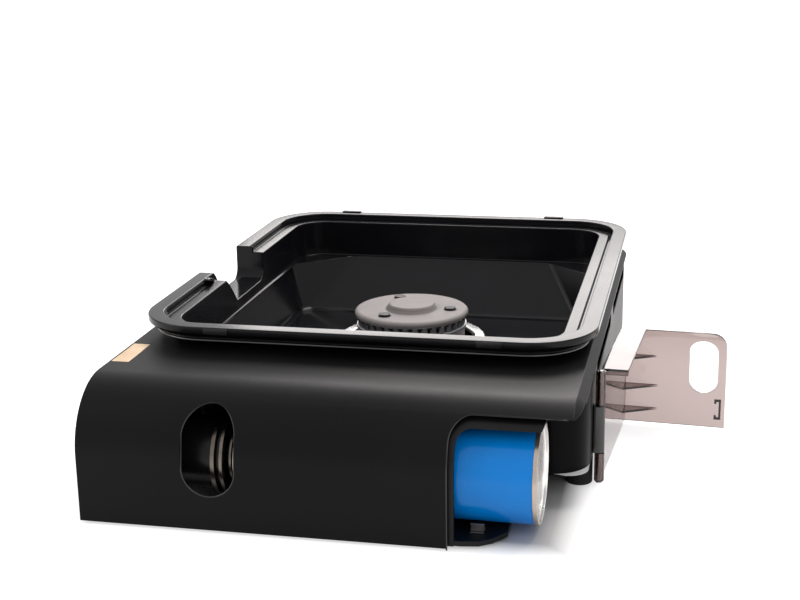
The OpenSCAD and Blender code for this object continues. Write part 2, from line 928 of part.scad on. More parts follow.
// Bright ring on the tray round the burner
module burner_ring() {
  color("#d7d8da") placed()
    translate([burner_x, burner_y, ring_z])
      rotate_extrude()
        polygon([
          [throat_r + 0.8, 0],
          [ring_r, 0],
          [ring_r, 0.8],
          [ring_r - 1, 1.6],
          [throat_r + 1.8, 2],
          [throat_r + 0.8, 1.2]
        ]);
}

electrode_turn = 100;
electrode_ring = throat_r - 2.8;
electrode_x = burner_x + electrode_ring * cos(electrode_turn);
electrode_y = burner_y + electrode_ring * sin(electrode_turn);
electrode_r = 2.2;

module igniter_electrode() {
  color("#eceae2") placed()
    translate([electrode_x, electrode_y, pan_floor]) {
      cylinder(h = 1.5, r = 4);
      cylinder(h = crown_base - pan_floor, r = electrode_r);
    }
}

module electrode_wire() {
  color("#c6c7ca") placed()
    translate([electrode_x, electrode_y, crown_base])
      rotate([0, 0, electrode_turn]) {
        cylinder(h = 5, r = 0.6);
        translate([0, 0, 5]) sphere(0.6);
        translate([0, 0, 5]) rotate([0, -90, 0]) cylinder(h = 1.6, r = 0.6);
      }
}

piezo_r = 6;
piezo_y = can_y + 18.5;
piezo_x = cam_x + cam_t / 2;
lead_r = 1;
lead_x = piezo_x;
lead_z = can_z;
tip_r = 1.5;
plunger_r = 2.5;
tip_l = 2.2;
bore_end = pan_y - 5;
plunger_y = can_y + cam_r + seat_gap + tip_r;

module piezo_unit() {
  color("#d8d6cf") placed()
    translate([piezo_x, piezo_y, can_z]) rotate([-90, 0, 0])
      difference() {
        cylinder(h = pan_y - seat_gap - piezo_y, r = piezo_r);
        translate([0, 0, -1]) cylinder(h = bore_end - piezo_y + 1, r = plunger_r + run_gap);
      }
}

// Plunger that the cam drives into the piezo unit
module piezo_plunger() {
  color("#3b3c40") placed()
    translate([piezo_x, plunger_y, can_z]) rotate([-90, 0, 0]) {
      sphere(tip_r);
      cylinder(h = tip_l + 1, r = tip_r);
      translate([0, 0, tip_l]) cylinder(h = bore_end - striker_stroke - 0.6 - tip_l - plunger_y, r = plunger_r);
    }
}

// Lead from the piezo unit to the electrode, laid along the pan floor
module igniter_lead() {
  low = pan_floor + lead_r + 0.3;
  high = pan_z + pan_t + lead_r + 0.3;
  color("#9a2f2a") placed()
    bars([
      [lead_x, pan_y, lead_z],
      [lead_x, pan_y + 8, lead_z],
      [lead_x, pan_y + 16, high],
      [lead_x + 14, pan_y + 60, high],
      [lead_x + 24, burner_y + 90, low],
      [electrode_x, electrode_y + 20, low],
      [electrode_x, electrode_y + 4.2, low]
    ], lead_r);
}

// Ring of the tray between two insets, from z0 to z1
module tray_ring(in0, in1, z0, z1) {
  translate([tray_x, tray_y, z0])
    linear_extrude(z1 - z0) difference() {
      rounded(in0, in0, tray_w - in0, tray_d - in0, rim_corner - in0);
      rounded(in1, in1, tray_w - in1, tray_d - in1, rim_corner - in1);
    }
}

// Sweeps a section round the rim; its first axis runs inward from the rim's edge, its second is the height
module rim_sweep() {
  far = [tray_x + tray_w, tray_y + tray_d];
  sides = [
    [tray_x, tray_y, 0, tray_w],
    [far[0], tray_y, 90, tray_d],
    [far[0], far[1], 180, tray_w],
    [tray_x, far[1], 270, tray_d]
  ];
  for (p = sides)
    translate([p[0], p[1], 0]) rotate([0, 0, p[2]]) {
      translate([rim_corner, 0, 0]) rotate([90, 0, 90]) linear_extrude(p[3] - 2 * rim_corner) children();
      translate([rim_corner, rim_corner, 0]) rotate([0, 0, 180])
        rotate_extrude(angle = 90) translate([rim_corner, 0]) mirror([1, 0]) children();
    }
}

// Slanted skirt below the rim's edge, with a small upright bead at its end
module skirt_section() {
  top = rim_z - rim_edge_h;
  low = rim_z - rim_skirt_h;
  polygon([
    [0, top],
    [rim_skirt_in, low + 1.2],
    [rim_skirt_in, low],
    [rim_skirt_in + tray_t, low],
    [rim_skirt_in + tray_t, low + 1.6],
    [tray_t, top]
  ]);
}

// Half sizes of the lower tray at the shelf and at the floor
shelf_half = [tray_w / 2 - inner_w - 1, tray_d / 2 - inner_w - 1];
floor_half = [tray_w / 2 - 35, tray_d / 2 - 74];
post_leg = 47;
post_draft = 13;

// Cavity of the lower tray, grown by t; four pairs of sloping walls
module lower_tray(t, z1) {
  post = (shelf_half[0] + shelf_half[1] - post_leg) / sqrt(2);
  walls = [
    [0, shelf_half[0], floor_half[0]],
    [90, shelf_half[1], floor_half[1]],
    [45, post, post - post_draft],
    [135, post, post - post_draft]
  ];
  translate([burner_x, burner_y, floor_z - t])
    intersection_for (w = walls)
      rotate([0, 0, w[0]])
        translate([0, tray_d, 0]) rotate([90, 0, 0]) linear_extrude(2 * tray_d) {
          slope = (w[1] - w[2]) / (shelf_z - floor_z);
          half_low = w[2] + t - slope * t;
          polygon([
            [-half_low, 0],
            [half_low, 0],
            [half_low + slope * (z1 - floor_z + t), z1 - floor_z + t],
            [-half_low - slope * (z1 - floor_z + t), z1 - floor_z + t]
          ]);
        }
}

// Side view of the outlet: a slope that starts at from, a floor and an upright far side with a round foot
notch_run = 23;
notch_lead = 18;
notch_round = 10;

function notch_points(from, s) = concat(
  [for (i = [0:12]) [
    tray_y + notch_y + from + (notch_run - from) * i / 12 - s,
    notch_z + (rim_z - notch_z) * cos(7.5 * i) - s
  ]],
  [for (i = [0:6]) [
    tray_y + notch_y + notch_run + notch_l - notch_round + (notch_round + s) * sin(15 * i),
    notch_z + notch_round - (notch_round + s) * cos(15 * i)
  ]]
);

// Room above the outlet from x0 to x1; s grows it by the tray's wall
module notch_body(x0, x1, from, s, top) {
  far = tray_y + notch_y + notch_run + notch_l + s;
  translate([tray_x + x0, 0, 0])
    along_x() linear_extrude(x1 - x0)
      polygon(concat(notch_points(from, s), [[far, top], [tray_y + notch_y + from - s, top]]));
}

module notch_void() {
  notch_body(-1, band_w, 0, 0, rim_z + 1);
  notch_body(band_w - 0.1, inner_w + 1, -notch_lead, 0, rim_z + 1);
}

module notch_lining() {
  notch_body(0, band_w, 0, tray_t, rim_z);
  notch_body(band_w - tray_t, inner_w, -notch_lead, tray_t, rim_z);
}

module tray_shell() {
  groove = rim_z - groove_h;
  tray_ring(0, tray_t, rim_z - rim_edge_h, rim_z);
  rim_sweep() skirt_section();
  tray_ring(0, band_w, rim_z - tray_t, rim_z);
  tray_ring(band_w - tray_t, band_w, groove - tray_t, rim_z);
  tray_ring(band_w - tray_t, groove_in + tray_t, groove - tray_t, groove);
  tray_ring(groove_in, groove_in + tray_t, groove - tray_t, ledge_z);
  tray_ring(groove_in, inner_w, ledge_z - tray_t, ledge_z);
  tray_ring(inner_w - tray_t, inner_w, shelf_z - tray_t, ledge_z);
  tray_ring(wall_seat - shoulder_w, inner_w - tray_t + 0.1, top_z + seat_gap, top_z + seat_gap + tray_t);
  difference() {
    union() {
      lower_tray(tray_t, shelf_z - 1);
      translate([tray_x, tray_y, shelf_z - tray_t])
        linear_extrude(tray_t)
          rounded(inner_w - tray_t, inner_w - tray_t, tray_w - inner_w + tray_t,
            tray_d - inner_w + tray_t, rim_corner - inner_w + tray_t);
    }
    lower_tray(0, shelf_z + 1);
  }
}

module grill_tray() {
  color("#1d1d20") placed()
    difference() {
      union() {
        difference() {
          tray_shell();
          notch_void();
          translate([burner_x, burner_y, floor_z - tray_t - 1]) cylinder(h = 20, r = ring_r + boss_run - 2);
        }
        difference() {
          notch_lining();
          notch_void();
          translate([tray_x + groove_in, tray_y, ledge_z]) cube([inner_w, tray_d, rim_z]);
        }
        translate([burner_x, burner_y, 0])
          rotate_extrude()
            polygon([
              [ring_r + boss_run, floor_z],
              [ring_r, ring_z],
              [throat_r, ring_z],
              [throat_r, ring_z - tray_t],
              [ring_r - 1.8, ring_z - tray_t],
              [ring_r + boss_run - 2.4, floor_z - tray_t],
              [ring_r + boss_run, floor_z - tray_t]
            ]);
      }
    }
}

clip_w = 18;
clip_x = [67, 262];

// Strap clips on the rim: short ones in front, tall ones behind
module rim_clips() {
  color("#3c3d41") placed()
    for (x = clip_x) {
      translate([x - clip_w / 2, tray_y - clip_t, rim_z - rim_edge_h]) cube([clip_w, clip_t, rim_edge_h - 0.5]);
      translate([x - clip_w / 2, tray_y + tray_d, rim_z - rim_edge_h])
        cube([clip_w, clip_t, rim_edge_h + clip_t]);
      translate([x - clip_w / 2, tray_y + tray_d - 4, rim_z]) cube([clip_w, 4 + clip_t, clip_t]);
    }
}

lip_h = 4.5;
wall_out = 0.7;
wall_in = wall_out - door_t;
cut_back = knuckle_r + 2.5;
leaf_corner = 13;
rib_t = 1.6;
rib_at = [14, 33, 57];
finger_x = 17;
finger_z = 52.3;

// Places the door's closed shape on its hinge and swings it open
module hung() {
  translate([hinge_x, hinge_y, 0]) rotate([0, 0, door_open]) children();
}

// Closed leaf across the front, following the rolled edge
module door_leaf() {
  difference() {
    translate([-leaf_l, -hinge_y, 0])
      along_x() linear_extrude(leaf_l + wall_out)
        difference() {
          side_view(0, front_roll + 0.5, door_low);
          side_view(door_t, front_roll + 1, door_low - 5);
          translate([-1, door_top]) square([front_roll + 2, 40]);
        }
    translate([-leaf_l - 1, -hinge_y - 1, door_top - leaf_corner])
      rotate([90, 0, 0]) translate([0, 0, -40]) linear_extrude(42)
        difference() {
          square(leaf_corner + 1);
          translate([leaf_corner + 1, 0]) circle(leaf_corner);
        }
    translate([0, -hinge_y, 0]) along_y(-1, 30) oval(finger_x - leaf_l, finger_z, finger_w, finger_h);
  }
}

module door_side() {
  translate([wall_in, -hinge_y, 0])
    along_x() linear_extrude(door_t)
      difference() {
        side_view(0, hinge_y, door_low);
        translate([-1, door_top]) square([hinge_y + 2, 40]);
        translate([hinge_y - cut_back, block_z - 0.4]) square([cut_back + 2, block_h + 0.8]);
      }
}

// Rolled edge's depth at a height
function roll_depth(z) = front_roll - sqrt(front_roll * front_roll - pow(z - top_z + front_roll, 2));

module door_flange() {
  depth = roll_depth(door_top) + 0.5;
  translate([-flange_w, -hinge_y + depth, door_top - door_t])
    cube([flange_w + wall_out, hinge_y - depth - cut_back, door_t]);
  translate([-flange_w, -cut_back - door_t, door_top - lip_h])
    cube([flange_w + wall_out, door_t, lip_h]);
}

module door() {
  color("#5b4f4a") placed() hung() {
    difference() {
      union() {
        door_leaf();
        door_side();
        door_flange();
        for (z = [[door_low, block_z - 0.2], [block_z + block_h + 0.2, door_top]])
          translate([0, 0, z[0]]) cylinder(h = z[1] - z[0], r = knuckle_r);
      }
      translate([0, 0, -1]) cylinder(h = 100, r = pin_r + run_gap);
    }
    for (z = rib_at)
      translate([wall_in, -hinge_y + door_t, z])
        linear_extrude(rib_t) polygon([[0, 0], [-25, 0], [0, 15]]);
  }
}

// Small plate on the leaf's free edge that the bay holds
module door_catch() {
  color("#9c9ea2") placed() hung()
    translate([-leaf_l + 3, -hinge_y + door_t, 10]) cube([8, 1.6, 16]);
}

module hinge_block() {
  color("#141416") placed()
    difference() {
      union() {
        translate([body_w - pan_inset, hinge_y - knuckle_r, block_z])
          cube([hinge_x - body_w + pan_inset, 2 * knuckle_r, block_h]);
        translate([hinge_x, hinge_y, block_z]) cylinder(h = block_h, r = knuckle_r);
      }
      translate([hinge_x, hinge_y, 0]) cylinder(h = 100, r = pin_r);
      for (z = hinge_screws_at)
        translate([0, hinge_y, z]) rotate([0, 90, 0]) cylinder(h = body_w - pan_inset + 2.4, r = screw_r);
    }
}

module hinge_pin() {
  color("#b9babd") placed()
    translate([hinge_x, hinge_y, door_low - 0.6]) {
      cylinder(h = door_top - door_low + 1.2, r = pin_r);
      translate([0, 0, -0.8]) cylinder(h = 0.8, r = pin_r + 1);
    }
}

module hinge_screws() {
  color("#b9babd") placed()
    for (z = hinge_screws_at)
      translate([body_w - pan_inset - pan_t, hinge_y, z]) rotate([0, 90, 0]) {
        translate([0, 0, -1.4]) cylinder(h = 1.4, r = 2.7);
        cylinder(h = pan_t + 2.2, r = screw_r);
      }
}

top_cover();
name_plate();
base_pan();
canister_bay();
can_rest();
feet();
foot_screws();
control_panel();
knob_dial();
control_knob();
valve_spindle();
valve_block();
regulator_bracket();
regulator_body();
regulator_rings();
magnet_ring();
can_shell();
can_base();
can_dome();
can_collar();
can_valve();
gas_pipe();
jet_nozzle();
mixing_tube();
burner_body();
burner_bracket();
burner_crown();
burner_cap();
cap_studs();
burner_ring();
igniter_electrode();
electrode_wire();
igniter_lead();
piezo_unit();
piezo_plunger();
grill_tray();
rim_clips();
door();
door_catch();
hinge_block();
hinge_pin();
hinge_screws();
cover_screws();
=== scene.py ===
import json
import math

import bmesh
import bpy
from mathutils import Matrix, Vector


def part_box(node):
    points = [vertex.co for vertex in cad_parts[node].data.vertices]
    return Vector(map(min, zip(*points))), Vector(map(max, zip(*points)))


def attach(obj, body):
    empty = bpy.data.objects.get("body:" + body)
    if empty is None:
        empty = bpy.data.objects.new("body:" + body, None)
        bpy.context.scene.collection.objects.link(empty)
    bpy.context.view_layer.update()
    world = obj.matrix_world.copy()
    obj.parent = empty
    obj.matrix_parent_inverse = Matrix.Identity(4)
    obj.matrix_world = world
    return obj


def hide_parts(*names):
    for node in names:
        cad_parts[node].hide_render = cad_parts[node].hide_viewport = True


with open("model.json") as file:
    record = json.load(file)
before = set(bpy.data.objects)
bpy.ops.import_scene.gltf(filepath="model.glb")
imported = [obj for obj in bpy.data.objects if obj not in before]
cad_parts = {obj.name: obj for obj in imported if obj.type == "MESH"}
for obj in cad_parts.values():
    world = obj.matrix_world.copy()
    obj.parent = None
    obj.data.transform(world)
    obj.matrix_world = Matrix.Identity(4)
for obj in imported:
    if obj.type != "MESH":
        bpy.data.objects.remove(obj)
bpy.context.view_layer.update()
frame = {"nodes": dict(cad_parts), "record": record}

# The studio: the camera stands low in front of the canister's side and looks
# slightly down and to the left; its place and lens come from the housing's edges.
focal_px, frame_px, sensor_mm = 1437.6, 800.0, 36.0
camera_at = (0.19918, -1.0739, 0.3983)
camera_right = Vector((0.97732902, 0.21113298, -0.01583844))
camera_down = Vector((0.04130503, -0.26349887, -0.963775))
camera_ahead = Vector((-0.2076581, 0.94127106, -0.26624594))


def placed(name, data):
    """Sets a camera, a lamp or a mesh into the scene."""
    item = bpy.data.objects.new(name, data)
    bpy.context.scene.collection.objects.link(item)
    return item


camera_data = bpy.data.cameras.new("photo_camera")
camera_data.lens = sensor_mm * focal_px / frame_px
camera_data.sensor_width = sensor_mm
camera_data.clip_start = 0.05
camera_data.clip_end = 50.0
camera = placed("photo_camera", camera_data)
camera_turn = Matrix((camera_right, -camera_down, -camera_ahead)).transposed().to_4x4()
camera.matrix_world = Matrix.Translation(camera_at) @ camera_turn
bpy.context.scene.camera = camera
bpy.context.scene.view_settings.view_transform = "Standard"


def add_step(tree, kind, values, **settings):
    """Adds a node to a tree, its inputs set to plain values or fed by other nodes."""
    step = tree.nodes.new(kind)
    for setting, value in settings.items():
        setattr(step, setting, value)
    for entry, value in values.items():
        for one in value if isinstance(value, list) else [value]:
            if isinstance(one, bpy.types.Node):
                one = one.outputs[0]
            if isinstance(one, bpy.types.NodeSocket):
                tree.links.new(one, step.inputs[entry])
            else:
                step.inputs[entry].default_value = one
    return step


def add_sum(tree, operation, *values):
    """Adds one sum on numbers or nodes."""
    return add_step(tree, "ShaderNodeMath", dict(enumerate(values)), operation=operation)


def add_shift(tree, operation, *values):
    """Adds one sum on places."""
    return add_step(tree, "ShaderNodeVectorMath", dict(enumerate(values)), operation=operation)


def backdrop_rays(tree):
    """One for a ray that meets the backdrop straight, in a gloss or through the clear door."""
    rays = tree.nodes.new("ShaderNodeLightPath").outputs
    straight = add_sum(tree, "MAXIMUM", rays["Is Camera Ray"], rays["Is Transmission Ray"])
    return add_sum(tree, "MAXIMUM", straight, rays["Is Glossy Ray"])


room_light, backdrop_light = 0.5, 1.0
world = bpy.data.worlds.new("white_room")
bpy.context.scene.world = world
world.use_nodes = True
tree = world.node_tree
level = add_step(tree, "ShaderNodeMapRange", {
    "Value": backdrop_rays(tree), "To Min": room_light, "To Max": backdrop_light,
})
backdrop = tree.nodes["Background"]
backdrop.inputs["Color"].default_value = (1, 1, 1, 1)
tree.links.new(level.outputs["Result"], backdrop.inputs["Strength"])

# The floor is pale board: its glow keeps it white to the eye, a little less near the
# grill, so that the soft shadow shows, and not at all under the housing.
floor_half = 9
glow_near, glow_far = (0.25, 0.78), (1.3, 0.85)
housing_mid, housing_half = (-0.038, 0.0, 0.0), (0.165, 0.247, 0.0)
shade_inside, shade_outside = -0.02, 0.004
floor_mesh = bpy.data.meshes.new("floor")
floor_mesh.from_pydata(
    [(floor_half * x, floor_half * y, 0) for x, y in ((-1, -1), (1, -1), (1, 1), (-1, 1))],
    [], [(0, 1, 2, 3)],
)
floor = placed("floor", floor_mesh)
floor_paint = bpy.data.materials.new("floor_paint")
floor_paint.use_nodes = True
floor_mesh.materials.append(floor_paint)
tree = floor_paint.node_tree
place = tree.nodes.new("ShaderNodeTexCoord").outputs["Object"]
far = add_shift(tree, "LENGTH", place).outputs["Value"]
ramp = add_step(tree, "ShaderNodeMapRange", {
    "Value": far, "From Min": glow_near[0], "From Max": glow_far[0],
    "To Min": glow_near[1], "To Max": glow_far[1],
})
from_mid = add_shift(tree, "ABSOLUTE", add_shift(tree, "SUBTRACT", place, housing_mid))
past_edge = add_shift(tree, "SUBTRACT", from_mid, housing_half)
sides = add_step(tree, "ShaderNodeSeparateXYZ", {0: past_edge})
outside = add_step(tree, "ShaderNodeMapRange", {
    "Value": add_sum(tree, "MAXIMUM", sides.outputs["X"], sides.outputs["Y"]),
    "From Min": shade_inside, "From Max": shade_outside,
})
glow = add_sum(tree, "MULTIPLY", add_sum(tree, "MULTIPLY", backdrop_rays(tree), ramp), outside)
shader = tree.nodes["Principled BSDF"]
for label, value in (
    ("Base Color", (0.64, 0.64, 0.64, 1)),
    ("Roughness", 0.9),
    ("Specular IOR Level", 0.0),
    ("Emission Color", (1, 1, 1, 1)),
):
    shader.inputs[label].default_value = value
tree.links.new(glow.outputs[0], shader.inputs["Emission Strength"])

# Five soft lamps, slightly warm: over the roll, behind the tray, high behind it,
# at the left, and a weak one in front. All of them look at the grill's middle.
lamp_aim = Vector((0, 0, 0.06))
for name, at, wide, tall, watts in (
    ("lamp_over", (0.52, 0.42, 1.6), 1.0, 0.5, 13.0),
    ("lamp_back", (-0.14, 2.1, 0.82), 1.5, 0.5, 8.7),
    ("lamp_high", (-0.05, 1.35, 1.2), 0.8, 0.6, 11.0),
    ("lamp_left", (-1.7, -0.7, 1.0), 1.0, 1.2, 8.0),
    ("lamp_front", (1.1, -1.7, 1.3), 0.9, 0.9, 5.0),
):
    lamp_data = bpy.data.lights.new(name, "AREA")
    lamp_data.shape = "RECTANGLE"
    lamp_data.size = wide
    lamp_data.size_y = tall
    lamp_data.energy = watts
    lamp_data.color = (1.0, 0.95, 0.93)
    lamp = placed(name, lamp_data)
    lamp.visible_camera = False
    lamp.visible_transmission = False
    lamp.location = at
    lamp.rotation_euler = (lamp_aim - Vector(at)).to_track_quat("-Z", "Y").to_euler()

# The base pan: a deep tub of black enamelled sheet, pressed in one go, with side
# vents, a sunk belly, and a floor that stands out at the front corners, where its
# narrow upward ledge carries a painted pale reflection over the black enamel.


def tree_sockets(tree, way, rows):
    """Gives a node tree its named inputs or outputs, with the values they start at."""
    for label, kind, value in rows:
        socket = tree.interface.new_socket(label, in_out=way, socket_type="NodeSocket" + kind)
        if value is not None:
            socket.default_value = value


grain = bpy.data.node_groups.new("paint_grain", "ShaderNodeTree")
tree_sockets(grain, "INPUT", (
    ("Grain scale", "Float", 900.0), ("Cloud scale", "Float", 9.0), ("Bump", "Float", 0.1),
))
tree_sockets(grain, "OUTPUT", (
    ("Grain", "Float", None), ("Cloud", "Float", None), ("Normal", "Vector", None),
))
given = grain.nodes.new("NodeGroupInput").outputs
place = grain.nodes.new("ShaderNodeTexCoord").outputs["Object"]
fine = add_step(grain, "ShaderNodeTexNoise", {
    "Vector": place, "Scale": given["Grain scale"], "Detail": 3.0,
}).outputs["Fac"]
broad = add_step(grain, "ShaderNodeTexNoise", {
    "Vector": place, "Scale": given["Cloud scale"], "Detail": 5.0, "Roughness": 0.62,
}).outputs["Fac"]
pits = add_step(grain, "ShaderNodeBump", {
    "Distance": 0.0002, "Strength": given["Bump"], "Height": fine,
})
add_step(grain, "NodeGroupOutput", {"Grain": fine, "Cloud": broad, "Normal": pits})


def grained(tree, scales, bump):
    """Lays the shared grain into a finish at its own scales."""
    return add_step(tree, "ShaderNodeGroup", {
        "Grain scale": scales[0], "Cloud scale": scales[1], "Bump": bump,
    }, node_tree=grain).outputs


def finish(name, dark, light, rough, scales=(900.0, 9.0), bump=0.1, metal=0.0, gloss=0.5):
    """A paint or metal whose colour and gloss drift between two values, finely grained."""
    material = bpy.data.materials.new(name)
    material.use_nodes = True
    tree = material.node_tree
    mark = grained(tree, scales, bump)
    drift = add_step(tree, "ShaderNodeMapRange", {
        "Value": mark["Cloud"], "From Min": 0.35, "From Max": 0.65,
    })
    blend = add_step(tree, "ShaderNodeMix", {
        "A": (*dark, 1), "B": (*light, 1), "Factor": drift,
    }, data_type="RGBA")
    blend.name = "blend"
    half_cloud = add_sum(tree, "MULTIPLY", mark["Cloud"], 0.5)
    dull = add_step(tree, "ShaderNodeMapRange", {
        "Value": add_sum(tree, "MULTIPLY_ADD", mark["Grain"], 0.5, half_cloud),
        "From Min": 0.3, "From Max": 0.7, "To Min": rough[0], "To Max": rough[1],
    })
    shader = tree.nodes["Principled BSDF"]
    shader.inputs["Metallic"].default_value = metal
    shader.inputs["Specular IOR Level"].default_value = gloss
    tree.links.new(blend.outputs["Result"], shader.inputs["Base Color"])
    tree.links.new(dull.outputs["Result"], shader.inputs["Roughness"])
    tree.links.new(mark["Normal"], shader.inputs["Normal"])
    return material


def tinted(material, mask, colour):
    """Lays a second colour over a finish where the mask is one."""
    tree = material.node_tree
    over = add_step(tree, "ShaderNodeMix", {
        "A": tree.nodes["blend"].outputs["Result"], "B": (*colour, 1), "Factor": mask,
    }, data_type="RGBA")
    tree.links.new(over.outputs["Result"], tree.nodes["Principled BSDF"].inputs["Base Color"])


merge_gap = 2e-6
corner_turn, crease_turn = math.radians(25), math.radians(50)


def merged(shape):
    """Joins the loose triangles of a shape where they meet."""
    bmesh.ops.remove_doubles(shape, verts=shape.verts, dist=merge_gap)
    bmesh.ops.dissolve_degenerate(shape, dist=merge_gap, edges=shape.edges)


def rounded(shape, edges, by, steps):
    """Rounds edges off by a width."""
    bmesh.ops.bevel(
        shape, geom=edges, offset=by, offset_type="OFFSET", segments=steps,
        profile=0.5, affect="EDGES", clamp_overlap=False, loop_slide=False,
    )


def eased(node, material, edge=0.0004, steps=2, pressed=None, bend=0.0, settle=None):
    """A merged copy of a CAD node, its sharp edges rounded by edge and its creases by bend."""
    shape = bmesh.new()
    shape.from_mesh(frame["nodes"][node].data)
    merged(shape)
    if settle:
        for v in shape.verts:
            v.co.x = settle(v.co)
        merged(shape)
    if pressed:
        rounded(shape, [e for e in shape.edges if e.is_manifold and pressed(e)], bend, 5)
    if edge > 0:
        rounded(shape, [
            e for e in shape.edges if e.is_manifold and e.calc_face_angle(0.0) > corner_turn
        ], edge, steps)
    low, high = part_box(node)
    for v in shape.verts:
        v.co = [min(max(c, a), b) for c, a, b in zip(v.co, low, high)]
    bmesh.ops.triangulate(shape, faces=[f for f in shape.faces if len(f.verts) > 4])
    mesh = bpy.data.meshes.new(node + "_shape")
    shape.to_mesh(mesh)
    shape.free()
    mesh.shade_smooth()
    mesh.set_sharp_from_angle(angle=crease_turn)
    mesh.materials.clear()
    mesh.materials.append(material)
    piece = placed(node + "_piece", mesh)
    piece.modifiers.new("weigh", "WEIGHTED_NORMAL").keep_sharp = True
    record = frame["record"]
    body = next(b for b, names in record["behaviour"]["bodies"].items() if node in names)
    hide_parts(node)
    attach(piece, body)


pan_enamel = finish(
    "pan_enamel", (0.003, 0.003, 0.004), (0.006, 0.006, 0.007), (0.28, 0.40),
    bump=0.03, gloss=0.04,
)
# The front-corner ledge faces are tinted pale: a painted reflection of the white room on the black
# enamel.
ledge_top, ledge_band, ledge_back = 0.0230, 0.0006, -0.125
tree = pan_enamel.node_tree
place = tree.nodes.new("ShaderNodeTexCoord").outputs
spot = add_step(tree, "ShaderNodeSeparateXYZ", {0: place["Object"]}).outputs
facing = add_step(tree, "ShaderNodeSeparateXYZ", {0: place["Normal"]}).outputs
at_height = add_sum(tree, "COMPARE", spot["Z"], ledge_top, ledge_band)
in_front = add_sum(tree, "LESS_THAN", spot["Y"], ledge_back)
faces_up = add_sum(tree, "GREATER_THAN", facing["Z"], 0.4)
ledge_reflection = add_sum(tree, "MULTIPLY", add_sum(tree, "MULTIPLY", at_height, in_front), faces_up)
tinted(pan_enamel, ledge_reflection, (0.62, 0.63, 0.65))
eased("base_pan", pan_enamel, edge=0.0005)

# The four feet: turned rubber plugs with a hollow foot, dull black and a little
# dusty, each held under the pan's floor by a screw from inside.
foot_rubber = finish(
    "foot_rubber", (0.009, 0.009, 0.009), (0.022, 0.021, 0.020), (0.7, 0.9), (1600.0, 60.0),
    0.5, gloss=0.25,
)
eased("feet", foot_rubber, edge=0.0009, steps=3)

# Screws: zinc plated pan heads with a cross recess, one tree for all of them, set
# on loose points with their shanks in the sheet; first the four that hold the feet.
screw_tree = bpy.data.node_groups.new("cross_screw", "GeometryNodeTree")
tree_sockets(screw_tree, "INPUT", (
    ("Geometry", "Geometry", None),
    ("Head radius", "Float", 0.0036),
    ("Head height", "Float", 0.0016),
    ("Shank radius", "Float", 0.0018),
    ("Shank length", "Float", 0.008),
    ("Turn", "Vector", (0.0, 0.0, 0.0)),
    ("Plating", "Material", None),
))
tree_sockets(screw_tree, "OUTPUT", (("Geometry", "Geometry", None),))
given = screw_tree.nodes.new("NodeGroupInput").outputs
head_r, head_tall = given["Head radius"], given["Head height"]


def share(size, part):
    """A size of the screw times a share."""
    return add_sum(screw_tree, "MULTIPLY", size, part)


def raised(solid, height):
    """Lifts a part of the screw along its axis."""
    lift = add_step(screw_tree, "ShaderNodeCombineXYZ", {"Z": height})
    return add_step(screw_tree, "GeometryNodeTransform", {"Geometry": solid, "Translation": lift})


def set_on_points(tree, given, solid, turn, coating):
    """Ends a tree: the solid set on every point, made real and given its finish."""
    row = add_step(tree, "GeometryNodeInstanceOnPoints", {
        "Points": given["Geometry"], "Instance": solid, "Rotation": turn,
    })
    real = add_step(tree, "GeometryNodeRealizeInstances", {"Geometry": row})
    coated = add_step(tree, "GeometryNodeSetMaterial", {"Geometry": real, "Material": coating})
    add_step(tree, "NodeGroupOutput", {"Geometry": coated})


head_sides, shank_sides = 28, 16
rim_tall = share(head_tall, 0.4)
rim = add_step(screw_tree, "GeometryNodeMeshCylinder", {
    "Vertices": head_sides, "Radius": head_r, "Depth": rim_tall,
})
dome = add_step(screw_tree, "GeometryNodeMeshCone", {
    "Vertices": head_sides, "Radius Bottom": head_r, "Radius Top": share(head_r, 0.68),
    "Depth": share(head_tall, 0.6),
})
shank = add_step(screw_tree, "GeometryNodeMeshCylinder", {
    "Vertices": shank_sides, "Radius": given["Shank radius"], "Depth": given["Shank length"],
})
cross_wide, cross_thin = share(head_r, 1.1), share(head_r, 0.22)
cuts = []
for wide, thin in ((cross_wide, cross_thin), (cross_thin, cross_wide)):
    span = add_step(screw_tree, "ShaderNodeCombineXYZ", {"X": wide, "Y": thin, "Z": head_tall})
    bar = add_step(screw_tree, "GeometryNodeMeshCube", {"Size": span})
    cuts.append(raised(bar, head_tall))
recessed = add_step(screw_tree, "GeometryNodeMeshBoolean", {
    "Mesh 1": raised(dome, rim_tall), "Mesh 2": cuts,
}, operation="DIFFERENCE", solver="EXACT")
screw = add_step(screw_tree, "GeometryNodeJoinGeometry", {"Geometry": [
    recessed, raised(rim, share(rim_tall, 0.5)), raised(shank, share(given["Shank length"], -0.5)),
]})
set_on_points(screw_tree, given, screw, given["Turn"], given["Plating"])


def cloud(name, points):
    """A mesh of loose points."""
    mesh = bpy.data.meshes.new(name)
    mesh.from_pydata([tuple(p) for p in points], [], [])
    return mesh


def grown(name, tree, start, values):
    """A plain mesh object of what a tree makes from a starting mesh and named values."""
    holder = placed(name + "_holder", start)
    step = holder.modifiers.new("grow", "NODES")
    step.node_group = tree
    for item in tree.interface.items_tree:
        if item.item_type == "SOCKET" and item.in_out == "INPUT" and item.name in values:
            step[item.identifier] = values[item.name]
    shown = holder.evaluated_get(bpy.context.evaluated_depsgraph_get())
    mesh = bpy.data.meshes.new_from_object(shown)
    holder.modifiers.remove(step)
    bpy.data.objects.remove(holder)
    mesh.name = name
    return placed(name, mesh)


screw_zinc = finish(
    "screw_zinc", (0.42, 0.42, 0.43), (0.55, 0.55, 0.56), (0.25, 0.42), (3000.0, 200.0), metal=1.0,
)


def screw_row(name, node, points, turn, head, shank):
    """The screws of one node; head and shank are each a radius and a length."""
    piece = grown(name, screw_tree, cloud(name + "_points", points), {
        "Head radius": head[0], "Head height": head[1],
        "Shank radius": shank[0], "Shank length": shank[1],
        "Turn": turn, "Plating": screw_zinc,
    })
    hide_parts(node)
    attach(piece, "housing")


